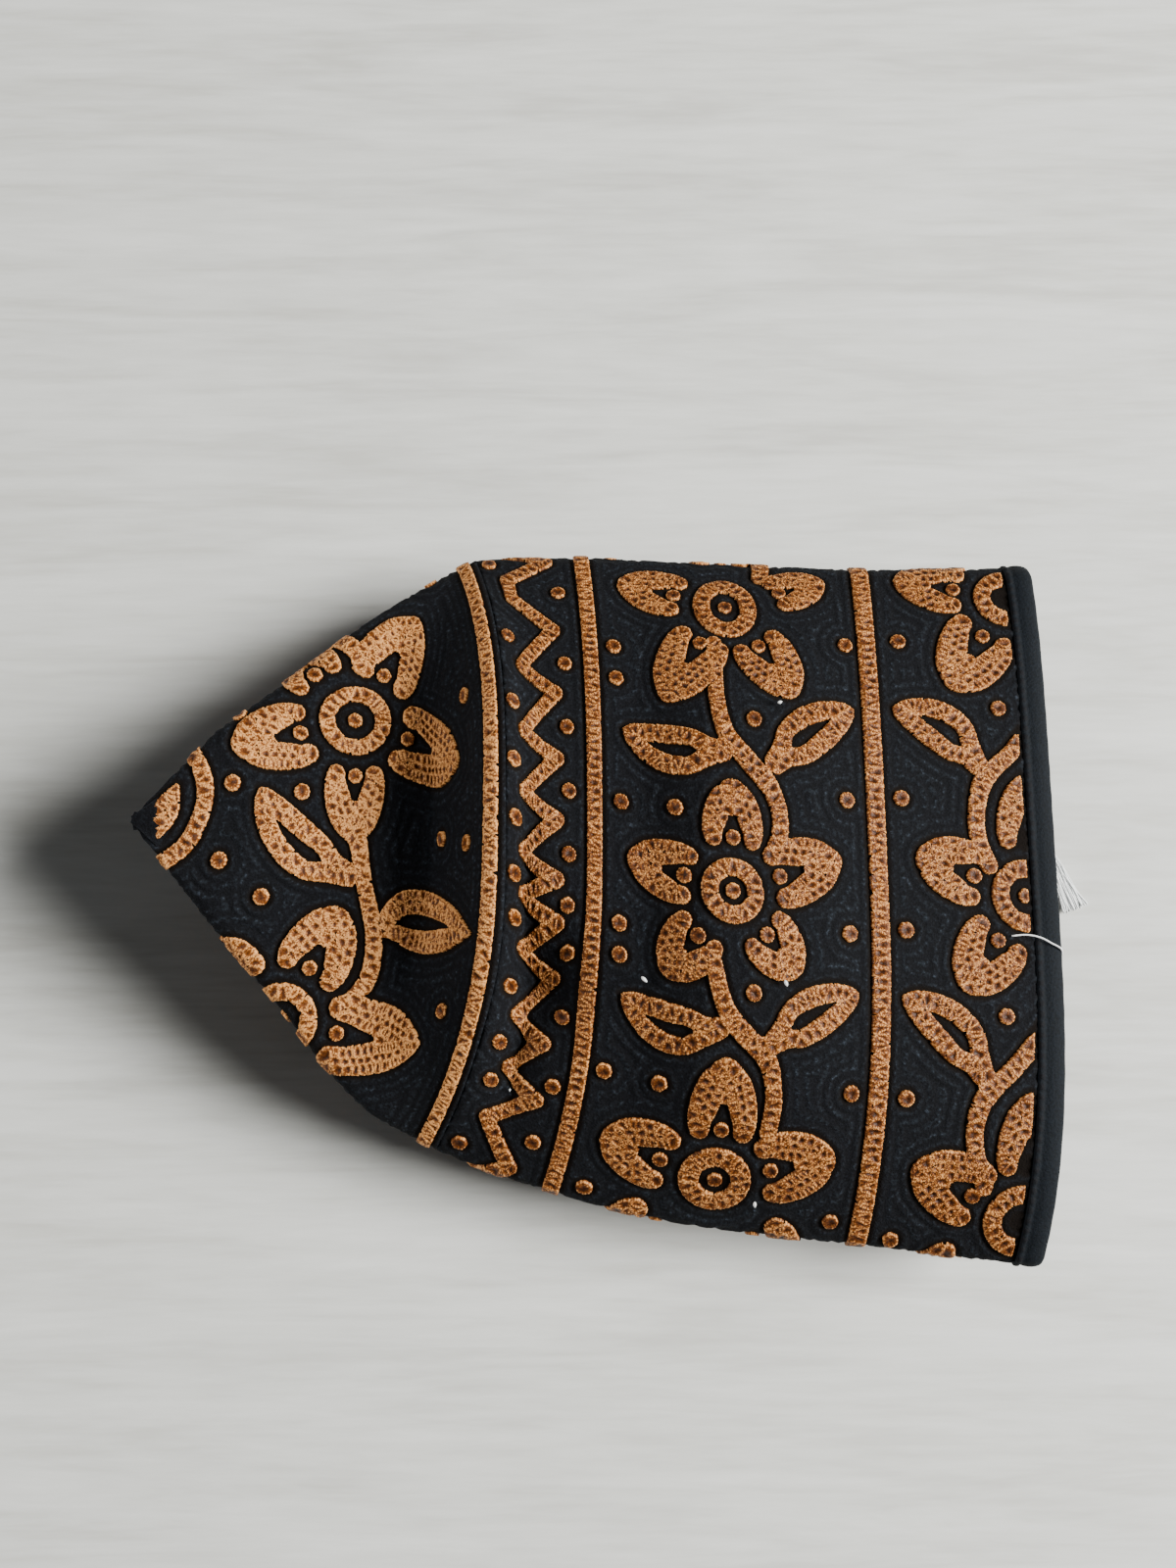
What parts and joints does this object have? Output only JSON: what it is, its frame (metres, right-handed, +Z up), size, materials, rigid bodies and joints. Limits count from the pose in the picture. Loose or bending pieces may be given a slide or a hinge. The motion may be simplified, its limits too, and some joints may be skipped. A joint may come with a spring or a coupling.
{
  "type": "prayer cap",
  "caption": "Round embroidered prayer cap with a flat crown, a straight side wall and a turned hem, folded in quarters and lying on its side.",
  "frame": {"origin": "on the floor under the middle of the lying cap's bounding box", "axes": "+X from the crown's point to the head opening, +Z up from the face that the cap lies on, +Y across the cap to its upper fold in the picture"},
  "size_m": [0.188, 0.1478, 0.0512],
  "materials": {
    "embroidered_cloth": "stitched black cotton",
    "binding_cloth": "plain black cotton twill",
    "gold_thread": "rayon embroidery thread with a satin sheen",
    "loose_thread": "white cotton thread"
  },
  "bodies": {
    "root": {"crown": "embroidered_cloth", "side_wall": "embroidered_cloth", "rim_binding": "binding_cloth"}
  },
  "joints": []
}
